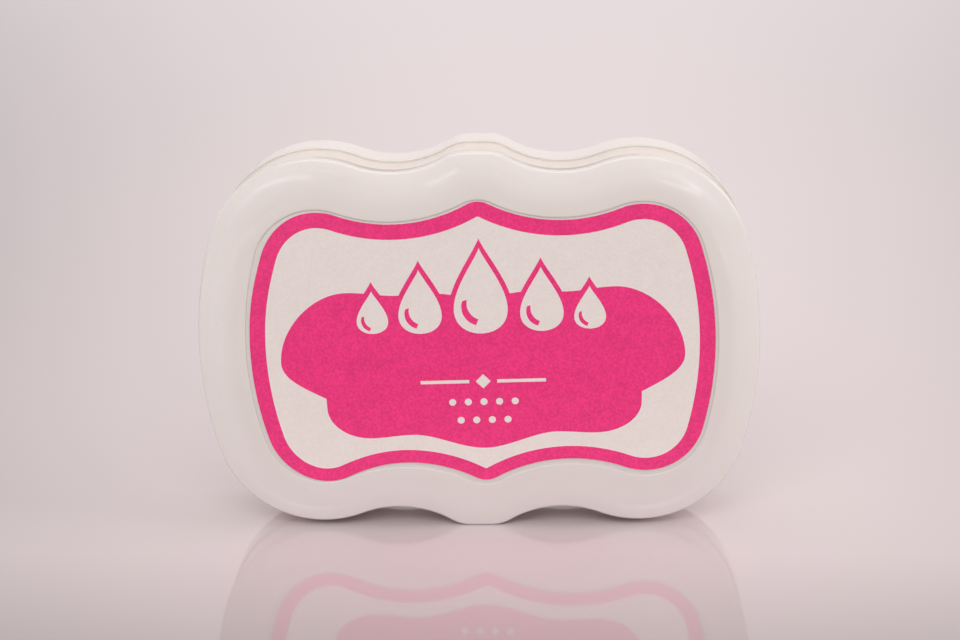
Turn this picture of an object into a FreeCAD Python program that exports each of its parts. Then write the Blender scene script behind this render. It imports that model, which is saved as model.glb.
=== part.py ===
import FreeCAD, Part
import math
import os
import Sketcher
from FreeCAD import Placement, Rotation, Vector

# A craft ink pad: a two-part plastic case with a wavy plaque outline and a cloth-covered foam pad inside.
# The case stands on the flat of its lower crest, as it does on a shelf, with the label facing -Y:
# +X runs along the case, +Z up, and the origin is under the middle of the case.
# Every sub-part is drawn on the plane of its underside. "depth" is the distance from the underside of the
# base towards the label, and "inset" the distance inside the silhouette of the case.

DIMENSIONS = {
    # silhouette of the case
    "case_length": 97.4,
    "case_height": 67.2,
    "case_depth": 20.0,
    "crest_flat_half": 1.75,
    "valley_centre_across": 14.45,
    "valley_centre_up": 48.5,
    "valley_radius": 18.35,
    "lobe_centre_across": 27.75,
    "lobe_radius": 19.0,
    # base
    "floor_thickness": 2.4,
    "base_wall": 3.25,
    "parting_depth": 8.8,
    "parting_gap": 0.15,
    "parting_round": 0.25,
    "base_edge_round": 1.5,
    "lip_inset": 1.95,
    "lip_height": 4.1,
    "lip_round": 0.3,
    "floor_round": 1.0,
    "underside_recess": 0.6,
    "ledge_depth": 9.85,
    "rib_thickness": 1.2,
    "rib_reach": 2.6,
    "rib_spread": 12.0,
    "end_bow_radius": 64.0,
    "root": 0.6,
    "nub_length": 8.0,
    "crest_nub_length": 3.0,
    "nub_reach": 0.35,
    "nub_height": 0.5,
    "bead_length": 4.0,
    "bead_reach": 0.12,
    "bead_height": 0.7,
    "well_wall": 0.9,
    "well_height": 2.0,
    # lid
    "brim_depth": 18.4,
    "brim_wall": 0.8,
    "brim_round": 0.6,
    "edge_break": 0.2,
    "neck_step": 0.75,
    "neck_width": 1.5,
    "skirt_step": 0.3,
    "skirt_wall": 1.45,
    "band_width": 2.3,
    "band_rise": 0.4,
    "crown_middle_inset": 4.2,
    "crown_middle_rise": 0.215,
    "crown_width": 6.3,
    "ceiling_depth": 18.05,
    "seal_inset": 7.4,
    "seal_wall": 1.1,
    "seal_depth": 12.3,
    "seal_root": 0.2,
    "label_inset": 8.8,
    "label_gap": 0.8,
    "label_apex_round": 3.8,
    "label_recess": 0.45,
    "label_thickness": 0.25,
    "label_skew": 1.1,
    "label_shift_across": 0.3,
    "label_shift_up": 0.2,
    "glue_gap": 0.02,
    # pad
    "pad_inset": 11.6,
    "pad_apex_round": 4.5,
    "pad_top_depth": 15.4,
    "pad_edge_round": 2.0,
    "cloth_thickness": 0.45,
    "hem_width": 6.0,
    "foam_slack": 0.05,
    "fit_clearance": 0.1,
    "contact_gap": 0.02,
    "tape_thickness": 0.3,
    "tape_length": 40.0,
    "tape_width": 8.0,
    "tape_offset": 9.0,
    "plate_thickness": 1.5,
    "plate_round": 0.4,
    "bezel_thickness": 1.4,
    "bezel_clearance": 0.2,
    "bezel_collar": 0.9,
    "collar_overlap": 0.1,
    "bezel_edge_round": 0.4,
}

PLATE_TOP = "Dims.floor_thickness + Dims.tape_thickness + Dims.plate_thickness"


def make_sheet(doc):
    """The driving dimensions, in millimetres, one named cell each."""
    sheet = doc.addObject("Spreadsheet::Sheet", "Dims")
    for row, (name, value) in enumerate(DIMENSIONS.items(), start=1):
        sheet.set(f"A{row}", name)
        sheet.set(f"B{row}", str(value))
        sheet.setAlias(f"B{row}", name)
    doc.recompute()
    return sheet


def make_body(doc, name):
    """An empty body, centred on the case and standing on the lower crest."""
    body = doc.addObject("PartDesign::Body", name)
    body.Label = name
    body.setExpression("Placement.Base.y", "Dims.case_depth / 2")
    body.setExpression("Placement.Base.z", "Dims.case_height / 2")
    return body


def new_sketch(body, name, depth):
    """A sketch parallel to the underside of the case, at an expression for its depth."""
    sketch = body.newObject("Sketcher::SketchObject", name)
    plane = next(f for f in body.Origin.OriginFeatures if f.Role == "XZ_Plane")
    sketch.AttachmentSupport = [(plane, "")]
    sketch.MapMode = "FlatFace"
    sketch.setExpression("AttachmentOffset.Base.z", depth)
    return sketch


def wave_geometry(sheet, inset, apex_round):
    """Centre and radius of each kind of arc, in the outline's right upper quarter."""
    flat = 0.0 if apex_round else sheet.crest_flat_half
    valley = Vector(sheet.valley_centre_across, sheet.valley_centre_up, 0)
    valley_radius = sheet.valley_radius + inset
    lobe_radius = sheet.lobe_radius - inset
    reach = valley_radius + lobe_radius
    lobe_across = sheet.lobe_centre_across
    lobe_up = valley.y - math.sqrt(reach**2 - (lobe_across - valley.x) ** 2)
    lobe = Vector(lobe_across, lobe_up, 0)
    offset = sheet.case_length / 2 - inset - lobe_radius - lobe_across
    end_radius = lobe_radius + (offset**2 + lobe_up**2) / (2 * offset)
    end = Vector(sheet.case_length / 2 - inset - end_radius, 0, 0)
    if apex_round:
        drop = math.sqrt((valley_radius + apex_round) ** 2 - valley.x**2)
        crest_radius = apex_round
        crest = Vector(0, valley.y - drop, 0)
    else:
        below = valley.y - (sheet.case_height / 2 - inset)
        across = valley.x - flat
        crest_radius = (across**2 + below**2 - valley_radius**2) / (2 * (valley_radius - below))
        crest = Vector(flat, valley.y - below - crest_radius, 0)
    return {
        "end": (end, end_radius),
        "lobe": (lobe, lobe_radius),
        "valley": (valley, valley_radius),
        "crest": (crest, crest_radius),
    }


def bearing(start, finish):
    """Angle of the direction from one point to another."""
    return math.atan2(finish.y - start.y, finish.x - start.x)


def wave_segments(arcs, apex_round):
    """The closed outline as (kind, geometry, first position, last position), counter-clockwise."""
    end, lobe, valley, crest = (arcs[k][0] for k in ("end", "lobe", "valley", "crest"))
    to_lobe = bearing(end, lobe)
    to_valley = bearing(lobe, valley)
    to_crest = bearing(valley, crest)
    half_turn = math.pi
    right = [
        ("end", 1, -to_lobe, to_lobe),
        ("lobe", 1, to_lobe, to_valley),
        ("valley", 1, to_crest, to_valley - half_turn),
    ]
    left = [
        ("valley", -1, 2 * half_turn - to_valley, half_turn - to_crest),
        ("lobe", -1, half_turn - to_valley, half_turn - to_lobe),
    ]
    if apex_round:
        middle = [("crest", 1, to_crest + half_turn, -to_crest)]
    else:
        middle = [("crest", 1, to_crest + half_turn, half_turn / 2), ("crest", -1, half_turn / 2, -to_crest)]
    segments = []
    for turn in (0.0, half_turn):
        about = Rotation(Vector(0, 0, 1), math.degrees(turn))
        for kind, side, start, finish in right + middle + left:
            centre, radius = arcs[kind]
            place = about.multVec(Vector(side * centre.x, centre.y, 0))
            arc = Part.ArcOfCircle(Part.Circle(place, Vector(0, 0, 1), radius), start + turn, finish + turn)
            first, last = (2, 1) if kind == "valley" else (1, 2)
            segments.append((kind, arc, first, last))
            if kind == "crest" and side > 0 and not apex_round:
                top = place.y + math.copysign(radius, place.y)
                flat = Part.LineSegment(Vector(place.x, top, 0), Vector(-place.x, top, 0))
                segments.append(("flat", flat, 1, 2))
    return segments


def add_wave(sketch, sheet, inset, apex=None):
    """Adds the outline to a sketch, fully constrained.

    inset is an expression. The crests are flats between two arcs, unless apex names the radius that
    rounds them where the inset leaves no room for a flat."""
    apex_round = sketch.evalExpression(apex) if apex else None
    arcs = wave_geometry(sheet, sketch.evalExpression(inset), apex_round)
    segments = wave_segments(arcs, apex_round)
    count = len(segments)
    first_index = sketch.GeometryCount
    sketch.addGeometry([geometry for _, geometry, _, _ in segments])
    rules = []
    bound = []

    def bind(rule, name, expression):
        rules.append(rule)
        bound.append((len(rules) - 1, name, expression))

    for i, (_, _, _, last) in enumerate(segments):
        after = (i + 1) % count
        rules.append(Sketcher.Constraint(
            "Tangent", first_index + i, last, first_index + after, segments[after][2]))
    for i, (kind, geometry, _, _) in enumerate(segments):
        index = first_index + i
        tag = f"{kind}_{index}"
        if kind == "flat":
            low, high = ((-1, 1), (index, 1)) if geometry.StartPoint.y > 0 else ((index, 1), (-1, 1))
            rules.append(Sketcher.Constraint("Horizontal", index))
            bind(Sketcher.Constraint("DistanceY", *low, *high, abs(geometry.StartPoint.y)),
                 f"{tag}_up", f"Dims.case_height / 2 - ({inset})")
            continue
        centre = geometry.Center
        near, far = ((-1, 1), (index, 3)) if centre.x > 0 else ((index, 3), (-1, 1))
        low, high = ((-1, 1), (index, 3)) if centre.y > 0 else ((index, 3), (-1, 1))
        if kind == "valley":
            bind(Sketcher.Constraint("DistanceX", *near, *far, abs(centre.x)),
                 f"{tag}_across", "Dims.valley_centre_across")
            bind(Sketcher.Constraint("DistanceY", *low, *high, abs(centre.y)),
                 f"{tag}_up", "Dims.valley_centre_up")
            bind(Sketcher.Constraint("Radius", index, geometry.Radius),
                 f"{tag}_radius", f"Dims.valley_radius + ({inset})")
        elif kind == "lobe":
            bind(Sketcher.Constraint("DistanceX", *near, *far, abs(centre.x)),
                 f"{tag}_across", "Dims.lobe_centre_across")
            bind(Sketcher.Constraint("Radius", index, geometry.Radius),
                 f"{tag}_radius", f"Dims.lobe_radius - ({inset})")
        elif kind == "crest" and apex:
            bind(Sketcher.Constraint("Radius", index, geometry.Radius), f"{tag}_radius", apex)
        elif kind == "crest":
            bind(Sketcher.Constraint("DistanceX", *near, *far, abs(centre.x)),
                 f"{tag}_across", "Dims.crest_flat_half")
        else:
            side = math.copysign(1, math.cos(geometry.FirstParameter))
            reach = abs(centre.x + side * geometry.Radius)
            tip = sketch.addGeometry(Part.Point(Vector(side * reach, 0, 0)), True)
            near, far = ((-1, 1), (tip, 1)) if side > 0 else ((tip, 1), (-1, 1))
            rules.append(Sketcher.Constraint("PointOnObject", tip, 1, -1))
            rules.append(Sketcher.Constraint("PointOnObject", tip, 1, index))
            bind(Sketcher.Constraint("DistanceX", *near, *far, reach),
                 f"{tag}_reach", f"Dims.case_length / 2 - ({inset})")
    base = sketch.ConstraintCount
    sketch.addConstraint(rules)
    for number, name, expression in bound:
        sketch.renameConstraint(base + number, name)
        sketch.setExpression(f"Constraints.{name}", expression)


def wave_sketch(body, name, depth, *outlines):
    """A sketch of one or more wavy outlines, each (inset,) or (inset, apex radius)."""
    sketch = new_sketch(body, name, depth)
    for outline in outlines:
        add_wave(sketch, body.Document.Dims, *outline)
    return sketch


def block_sketch(body, name, depth, blocks):
    """A sketch of rectangles, each (centre across, centre up, width, height) as expressions."""
    sketch = new_sketch(body, name, depth)
    for across, up, width, height in blocks:
        x, y, w, h = (sketch.evalExpression(e) for e in (across, up, width, height))
        corners = [Vector(x + i * w / 2, y + j * h / 2, 0) for i, j in ((-1, -1), (1, -1), (1, 1), (-1, 1))]
        start = sketch.GeometryCount
        sides = [Part.LineSegment(corners[k], corners[(k + 1) % 4]) for k in range(4)]
        sketch.addGeometry(sides)
        base = sketch.ConstraintCount
        rules = [Sketcher.Constraint("Coincident", start + k, 2, start + (k + 1) % 4, 1) for k in range(4)]
        rules += [Sketcher.Constraint("Horizontal", start + k) for k in (0, 2)]
        rules += [Sketcher.Constraint("Vertical", start + k) for k in (1, 3)]
        rules += [
            Sketcher.Constraint("DistanceX", start, 1, start, 2, w),
            Sketcher.Constraint("DistanceY", start + 1, 1, start + 1, 2, h),
            Sketcher.Constraint("DistanceX", -1, 1, start, 1, x - w / 2),
            Sketcher.Constraint("DistanceY", -1, 1, start, 1, y - h / 2),
        ]
        sketch.addConstraint(rules)
        sizes = (width, height, f"({across}) - ({width}) / 2", f"({up}) - ({height}) / 2")
        for k, (what, expression) in enumerate(zip(("width", "height", "across", "up"), sizes)):
            sketch.renameConstraint(base + 8 + k, f"block_{start}_{what}")
            sketch.setExpression(f"Constraints.block_{start}_{what}", expression)
    return sketch


def pad(body, sketch, length, name):
    """Adds material from the sketch towards the label."""
    feature = body.newObject("PartDesign::Pad", name)
    feature.Profile = sketch
    feature.setExpression("Length", length)
    body.Document.recompute()
    return feature


def pocket(body, sketch, length, name, towards_label=True):
    """Cuts from the sketch, and checks that something was cut."""
    before = body.Shape.Volume
    feature = body.newObject("PartDesign::Pocket", name)
    feature.Profile = sketch
    feature.Reversed = towards_label
    feature.setExpression("Length", length)
    body.Document.recompute()
    if not body.Shape.Volume < before:
        raise RuntimeError(f"{body.Label}: {name} cut nothing")
    return feature


def loft(body, sketches, name, ruled):
    """Joins a stack of outlines."""
    feature = body.newObject("PartDesign::AdditiveLoft", name)
    feature.Profile = sketches[0]
    feature.Sections = sketches[1:]
    feature.Ruled = ruled
    body.Document.recompute()
    return feature


def edges_at(shape, depth, reach):
    """Names of the edges of the flat loop at one depth whose right-hand end is at a distance from X = 0."""
    level = [e for e in shape.Edges
             if abs(e.BoundBox.YMin + depth) < 0.01 and abs(e.BoundBox.YMax + depth) < 0.01]
    names = []
    for loop in Part.getSortedClusters(level):
        if abs(max(e.BoundBox.XMax for e in loop) - reach) < 0.05:
            names += [f"Edge{i}" for i, e in enumerate(shape.Edges, start=1)
                      if any(e.isSame(k) for k in loop)]
    return names


def fillet(body, depth, inset, radius, name):
    """Rounds the loop that lies at a depth and an inset."""
    tip = body.Tip
    half_length = tip.evalExpression(f"Dims.case_length / 2 - ({inset})")
    edges = edges_at(tip.Shape, tip.evalExpression(depth), half_length)
    if not edges:
        raise RuntimeError(f"{body.Label}: {name} found no edges")
    feature = body.newObject("PartDesign::Fillet", name)
    feature.Base = (tip, edges)
    feature.setExpression("Radius", radius)
    body.Document.recompute()
    return feature


def make_base_shell(doc):
    """The tray: wall, floor, locating lip, ribs that carry the bezel, and the well of the backing plate."""
    body = make_body(doc, "base_shell")
    lip_top = "Dims.parting_depth + Dims.lip_height"
    pad(body, wave_sketch(body, "WallOutline", "0", ("0",)), "Dims.parting_depth", "Wall")
    pad(body, wave_sketch(body, "LipOutline", "Dims.parting_depth", ("Dims.lip_inset",)),
        "Dims.lip_height", "Lip")
    pocket(body, wave_sketch(body, "CavityOutline", "Dims.floor_thickness", ("Dims.base_wall",)),
           f"{lip_top} - Dims.floor_thickness", "Cavity")
    recess = ("Dims.label_inset - Dims.label_gap", "Dims.label_apex_round + Dims.label_gap")
    pocket(body, wave_sketch(body, "UndersideOutline", "0", recess), "Dims.underside_recess", "Underside")
    fillet(body, "0", "0", "Dims.base_edge_round", "UndersideRound")
    fillet(body, "Dims.parting_depth", "0", "Dims.parting_round", "PartingRound")
    fillet(body, lip_top, "Dims.lip_inset", "Dims.lip_round", "LipOuterRound")
    fillet(body, "Dims.floor_thickness", "Dims.base_wall", "Dims.floor_round", "FloorRound")
    add_ribs(body)
    add_well(body)
    add_nubs(body)
    add_beads(body)
    return body


def inward(face, reach):
    """Centre and length, as expressions, of a block that stands on a wall's inner face."""
    return f"({face} - {reach} / 2 + Dims.root / 2)", f"{reach} + Dims.root"


def outward(face, reach):
    """Centre and length, as expressions, of a block that stands on a wall's outer face."""
    return f"({face} + {reach} / 2 - Dims.root / 2)", f"{reach} + Dims.root"


def add_ribs(body):
    """Thin ribs up the inside of the wall: three at each end, one at each lobe."""
    blocks = []
    wall = "Dims.case_length / 2 - Dims.base_wall"
    for side in ("", "-"):
        for up in ("-Dims.rib_spread", "0", "Dims.rib_spread"):
            bow = f"({up}) * ({up}) / (2 * Dims.end_bow_radius)"
            centre, length = inward(f"{wall} - {bow}", "Dims.rib_reach")
            blocks.append((f"{side}{centre}", up, length, "Dims.rib_thickness"))
    lobe_top = ("Dims.valley_centre_up - sqrt((Dims.valley_radius + Dims.lobe_radius)^2"
                " - (Dims.lobe_centre_across - Dims.valley_centre_across)^2)"
                " + Dims.lobe_radius - Dims.base_wall")
    centre, length = inward(lobe_top, "Dims.rib_reach")
    for side in ("", "-"):
        for way in ("", "-"):
            blocks.append((f"{side}Dims.lobe_centre_across", f"{way}{centre}", "Dims.rib_thickness", length))
    sketch = block_sketch(body, "RibOutlines", "Dims.floor_thickness", blocks)
    pad(body, sketch, "Dims.ledge_depth - Dims.floor_thickness", "Ribs")


def add_well(body):
    """The low wall on the floor that keeps the backing plate in place."""
    inner = ("Dims.pad_inset - Dims.fit_clearance", "Dims.pad_apex_round + Dims.fit_clearance")
    outer = ("Dims.pad_inset - Dims.fit_clearance - Dims.well_wall",
             "Dims.pad_apex_round + Dims.fit_clearance + Dims.well_wall")
    sketch = wave_sketch(body, "WellOutlines", "Dims.floor_thickness", outer, inner)
    pad(body, sketch, "Dims.well_height", "Well")


def add_nubs(body):
    """Small ledges on the inside of the lip, above the edge of the bezel, that keep it in."""
    end, end_length = inward("Dims.case_length / 2 - Dims.base_wall", "Dims.nub_reach")
    crest, crest_length = inward("Dims.case_height / 2 - Dims.base_wall", "Dims.nub_reach")
    blocks = []
    for side in ("", "-"):
        blocks.append((f"{side}{end}", "0", end_length, "Dims.nub_length"))
        blocks.append(("0", f"{side}{crest}", "Dims.crest_nub_length", crest_length))
    depth = "Dims.ledge_depth + Dims.bezel_thickness + Dims.fit_clearance"
    pad(body, block_sketch(body, "NubOutlines", depth, blocks), "Dims.nub_height", "Nubs")


def add_beads(body):
    """Low beads on the outside of the lip that the lid's skirt rides over."""
    centre, length = outward("Dims.case_length / 2 - Dims.lip_inset", "Dims.bead_reach")
    blocks = [(f"{side}{centre}", "0", length, "Dims.bead_length") for side in ("", "-")]
    depth = "Dims.parting_depth + Dims.lip_height / 2"
    pad(body, block_sketch(body, "BeadOutlines", depth, blocks), "Dims.bead_height", "Beads")


def make_lid_shell(doc):
    """The lid: brim, crowned front with the label's recess, neck, skirt, and the seal rib inside."""
    body = make_body(doc, "lid_shell")
    rear = "Dims.parting_depth + Dims.parting_gap"
    corner = "Dims.brim_depth + Dims.brim_wall"
    crease = f"{corner} + Dims.band_rise"
    pad(body, wave_sketch(body, "BrimOutline", "Dims.brim_depth", ("0",)), "Dims.brim_wall", "Brim")
    neck = "Dims.brim_depth - Dims.neck_width"
    pad(body, wave_sketch(body, "NeckOutline", neck, ("Dims.neck_step",)), "Dims.neck_width", "Neck")
    pad(body, wave_sketch(body, "SkirtOutline", rear, ("Dims.skirt_step",)), f"{neck} - ({rear})", "Skirt")
    band = [wave_sketch(body, "BandFoot", corner, ("0",)),
            wave_sketch(body, "BandTop", crease, ("Dims.band_width",))]
    loft(body, band, "Band", True)
    crown = [wave_sketch(body, "CrownFoot", crease, ("Dims.band_width",)),
             wave_sketch(body, "CrownMiddle", f"{crease} + Dims.crown_middle_rise",
                         ("Dims.crown_middle_inset",)),
             wave_sketch(body, "CrownTop", "Dims.case_depth", ("Dims.crown_width",))]
    loft(body, crown, "Crown", False)
    fillet(body, corner, "0", "Dims.brim_round", "BrimRound")
    cavity = wave_sketch(body, "CavityOutline", rear, ("Dims.skirt_step + Dims.skirt_wall",))
    pocket(body, cavity, f"Dims.ceiling_depth - ({rear})", "Cavity")
    fillet(body, "Dims.brim_depth", "0", "Dims.edge_break", "BrimBackRound")
    fillet(body, rear, "Dims.skirt_step", "Dims.edge_break", "SkirtRound")
    recess = ("Dims.label_inset - Dims.label_gap", "Dims.label_apex_round + Dims.label_gap")
    sketch = wave_sketch(body, "RecessOutline", "Dims.case_depth", recess)
    pocket(body, sketch, "Dims.label_recess", "Recess", towards_label=False)
    fillet(body, "Dims.case_depth", "Dims.label_inset - Dims.label_gap", "Dims.edge_break", "RecessRound")
    outer = ("Dims.seal_inset", "Dims.label_apex_round")
    inner = ("Dims.seal_inset + Dims.seal_wall", "Dims.label_apex_round - Dims.seal_wall")
    seal = wave_sketch(body, "SealOutlines", "Dims.seal_depth", outer, inner)
    pad(body, seal, "Dims.ceiling_depth + Dims.seal_root - Dims.seal_depth", "Seal")
    return body


def make_label(doc, name, depth, hand_placed=False):
    """A thin plaque-shaped sticker. A hand-placed one sits a little off centre and slightly turned."""
    body = make_body(doc, name)
    sketch = wave_sketch(body, "Outline", depth, ("Dims.label_inset", "Dims.label_apex_round"))
    pad(body, sketch, "Dims.label_thickness", "Sticker")
    if hand_placed:
        body.Placement = Placement(body.Placement.Base, Rotation(Vector(0, -1, 0), 1))
        body.setExpression("Placement.Rotation.Angle", "Dims.label_skew")
        body.setExpression("Placement.Base.x", "Dims.label_shift_across")
        body.setExpression("Placement.Base.z", "Dims.case_height / 2 + Dims.label_shift_up")
    return body


def make_tape(doc):
    """Two strips of double-sided tape between the floor and the backing plate."""
    body = make_body(doc, "pad_adhesive_tape")
    blocks = [("0", f"{way}Dims.tape_offset", "Dims.tape_length", "Dims.tape_width") for way in ("", "-")]
    sketch = block_sketch(body, "Strips", "Dims.floor_thickness", blocks)
    body.AllowCompound = True
    pad(body, sketch, "Dims.tape_thickness", "Tape")
    return body


def make_backing_plate(doc):
    """The stiff plate under the foam, lying on the tape."""
    body = make_body(doc, "pad_backing_plate")
    depth = "Dims.floor_thickness + Dims.tape_thickness"
    sketch = wave_sketch(body, "Outline", depth, ("Dims.pad_inset", "Dims.pad_apex_round"))
    pad(body, sketch, "Dims.plate_thickness", "Plate")
    fillet(body, f"{depth} + Dims.plate_thickness", "Dims.pad_inset", "Dims.plate_round", "PlateRound")
    return body


def make_cloth(doc):
    """The cover: top, sides, and a hem folded under the foam all round."""
    body = make_body(doc, "pad_cloth")
    bottom = f"{PLATE_TOP} + Dims.contact_gap"
    inside = f"{bottom} + Dims.cloth_thickness"
    sketch = wave_sketch(body, "CoverOutline", bottom, ("Dims.pad_inset", "Dims.pad_apex_round"))
    pad(body, sketch, f"Dims.pad_top_depth - ({bottom})", "Cover")
    hem = ("Dims.pad_inset + Dims.hem_width", "Dims.pad_apex_round")
    pocket(body, wave_sketch(body, "HemOutline", bottom, hem), "Dims.cloth_thickness", "Hem")
    hollow = ("Dims.pad_inset + Dims.cloth_thickness", "Dims.pad_apex_round - Dims.cloth_thickness")
    top = "Dims.pad_top_depth - Dims.cloth_thickness"
    pocket(body, wave_sketch(body, "HollowOutline", inside, hollow), f"{top} - ({inside})", "Hollow")
    fillet(body, top, "Dims.pad_inset + Dims.cloth_thickness",
           "Dims.pad_edge_round - Dims.cloth_thickness", "HollowRound")
    fillet(body, "Dims.pad_top_depth", "Dims.pad_inset", "Dims.pad_edge_round", "CoverRound")
    return body


def make_foam(doc):
    """The ink-soaked core, just inside the cover."""
    body = make_body(doc, "pad_foam")
    slack = "Dims.cloth_thickness + Dims.foam_slack"
    bottom = f"{PLATE_TOP} + Dims.contact_gap + {slack}"
    top = f"Dims.pad_top_depth - ({slack})"
    outline = (f"Dims.pad_inset + {slack}", f"Dims.pad_apex_round - ({slack})")
    pad(body, wave_sketch(body, "Outline", bottom, outline), f"{top} - ({bottom})", "Core")
    fillet(body, top, outline[0], f"Dims.pad_edge_round - ({slack})", "CoreRound")
    return body


def make_bezel(doc):
    """The bezel around the pad: a flat ring that lies on the ribs, and a collar down to the well."""
    body = make_body(doc, "pad_bezel")
    opening = ("Dims.pad_inset - Dims.bezel_clearance", "Dims.pad_apex_round + Dims.bezel_clearance")
    rim = "Dims.base_wall + Dims.bezel_clearance"
    depth = "Dims.ledge_depth + Dims.contact_gap"
    ring = wave_sketch(body, "RingOutlines", depth, (rim,), opening)
    pad(body, ring, "Dims.bezel_thickness", "Ring")
    collar_outer = (f"{opening[0]} - Dims.bezel_collar", f"{opening[1]} + Dims.bezel_collar")
    foot = "Dims.floor_thickness + Dims.well_height + Dims.fit_clearance"
    collar = wave_sketch(body, "CollarOutlines", foot, collar_outer, opening)
    pad(body, collar, f"{depth} + Dims.collar_overlap - ({foot})", "Collar")
    top = f"{depth} + Dims.bezel_thickness"
    fillet(body, top, rim, "Dims.bezel_edge_round", "RingOuterRound")
    fillet(body, top, opening[0], "Dims.bezel_edge_round", "RingInnerRound")
    return body


def make_parts(doc):
    """Every sub-part, from the underside of the case to the label."""
    return [
        make_base_shell(doc),
        make_label(doc, "base_label", "Dims.underside_recess - Dims.label_thickness - Dims.glue_gap"),
        make_tape(doc),
        make_backing_plate(doc),
        make_foam(doc),
        make_cloth(doc),
        make_bezel(doc),
        make_lid_shell(doc),
        make_label(doc, "lid_label", "Dims.case_depth - Dims.label_recess + Dims.glue_gap", True),
    ]


def check_and_export(doc, parts):
    """Stops on any failed object, and writes one STEP file for each sub-part."""
    for thing in doc.Objects:
        if {"Invalid", "Error"} & set(thing.State):
            raise RuntimeError(f"{thing.Label} failed: {thing.State}")
    for body in parts:
        if body.Shape.isNull() or not body.Shape.isValid():
            raise RuntimeError(f"{body.Label} has no valid shape")
    os.makedirs("parts", exist_ok=True)
    for body in parts:
        body.Shape.exportStep(f"parts/{body.Label}.step")
        box = body.Shape.BoundBox
        print(f"{body.Label}: {len(body.Shape.Solids)} solid(s), {body.Shape.Volume:.0f} mm3, "
              f"x {box.XMin:.2f}..{box.XMax:.2f} y {box.YMin:.2f}..{box.YMax:.2f} "
              f"z {box.ZMin:.2f}..{box.ZMax:.2f}")


def main():
    doc = FreeCAD.newDocument("InkPad")
    make_sheet(doc)
    parts = make_parts(doc)
    doc.recompute()
    check_and_export(doc, parts)


main()
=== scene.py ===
import math

import bmesh
import bpy
import numpy as np
from mathutils import Matrix, Vector, noise
from mathutils.geometry import delaunay_2d_cdt


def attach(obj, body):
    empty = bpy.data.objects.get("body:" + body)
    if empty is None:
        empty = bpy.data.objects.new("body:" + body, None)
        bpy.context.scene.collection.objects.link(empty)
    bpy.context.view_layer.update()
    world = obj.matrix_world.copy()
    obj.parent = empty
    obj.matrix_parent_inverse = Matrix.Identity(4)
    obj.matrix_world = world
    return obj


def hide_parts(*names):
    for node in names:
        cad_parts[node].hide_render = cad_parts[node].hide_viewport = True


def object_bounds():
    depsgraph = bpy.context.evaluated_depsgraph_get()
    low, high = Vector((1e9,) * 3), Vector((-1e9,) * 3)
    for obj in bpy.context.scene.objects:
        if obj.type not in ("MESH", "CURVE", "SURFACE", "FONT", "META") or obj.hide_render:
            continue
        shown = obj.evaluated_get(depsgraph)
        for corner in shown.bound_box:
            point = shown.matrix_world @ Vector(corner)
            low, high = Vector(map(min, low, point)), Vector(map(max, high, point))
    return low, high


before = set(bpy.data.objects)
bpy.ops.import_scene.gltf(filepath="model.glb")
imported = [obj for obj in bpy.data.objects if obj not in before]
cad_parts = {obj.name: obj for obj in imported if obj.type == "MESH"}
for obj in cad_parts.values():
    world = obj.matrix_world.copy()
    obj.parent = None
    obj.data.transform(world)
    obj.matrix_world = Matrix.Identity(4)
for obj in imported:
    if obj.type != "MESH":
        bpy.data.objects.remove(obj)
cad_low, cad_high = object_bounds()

# A craft ink pad. Shapes are worked out in millimetres about the middle of the case: "across" runs along
# the case, "up" along its short side, "depth" from the underside towards the label, and "inset" is the
# distance inside the case's silhouette. place() turns them into the frame's metres.

MM = 0.001
UNDERSIDE_Y = cad_high.y
CENTRE_Z = (cad_low.z + cad_high.z) / 2
HALF_HEIGHT = (cad_high.z - cad_low.z) / 2 / MM
CASE_DEPTH = (cad_high.y - cad_low.y) / MM

# silhouette
HALF_LENGTH = 48.7
CREST_FLAT = 1.75
CREST_ROUND = 13.64
VALLEY = (14.45, 48.5)
VALLEY_RADIUS = 18.35
LOBE_ACROSS = 27.75
LOBE_RADIUS = 19.0
FLAT_FADES = (4.0, 6.0)
STEPS = {"end": 16, "lobe": 30, "valley": 20, "crest": 14}

# depths and insets of the case: WELL, SEAL_RIB and CROWN_BENDS are two insets each, NECK and CREASE are
# corners at (inset, depth), and RECESS_SHIFT is (across, up)
PARTING = 8.8
SEAM = 0.08
LIP_TOP = 12.9
LIP_INSET = 1.95
WALL_INSET = 3.25
FLOOR_TOP = 2.4
WELL = (10.6, 11.5)
WELL_TOP = 4.4
SKIRT_INSET = 0.3
SKIRT_INSIDE = 1.75
CEILING = 18.05
MIDDLE_CEILING = 17.7
SEAL_RIB = (7.4, 8.5)
SEAL_RIB_FOOT = 12.3
NECK = (0.75, 16.9)
BRIM_BACK = 18.4
BRIM_CORNER = 19.1
CREASE = (2.2, 19.58)
CROWN_SLOPE = 0.15
CROWN_BENDS = (3.2, 6.8)
RECESS_INSET = 8.2
RECESS_DEPTH = 0.3
RECESS_SHIFT = (0.55, -0.1)
BACK_RECESS_DEPTH = 0.6
RECESS_MARGIN = 0.35

# ribs under the bezel, nubs over it and beads on the lip, rooted in the walls of the ends and the sides
RIB_HALF = 0.6
RIB_REACH = 2.6
RIB_TOP = 9.85
END_RIBS = (-12, 0, 12)
NUB_DEPTHS = (11.35, 11.85)
NUB_REACH = 0.35
NUB_HALVES = (4, 1.5)
BEAD_DEPTHS = (10.85, 11.55)
BEAD_REACH = 0.12
BEAD_HALF = 2
END_RADIUS = 64
END_ROOT = 0.8
SIDE_ROOT = 0.4

# label
LABEL_INSET = 8.8
LABEL_APEX = 3.8
LABEL_SHIFT = (0.65, 0.15)
LABEL_STRETCH = 1.0095
LABEL_BORDER = 2.7
LOWER_FIELD = 1.022
LABEL_SKEW = math.radians(1.1)
LABEL_THICKNESS = 0.22
GLUE = 0.02
DIVIDER_UP = -6.9

# triangle grids: the height of a row and its distance from the edges, as shares of the spacing
ROW_HEIGHT = 0.866
CLEAR_OF_EDGES = 0.6

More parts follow.
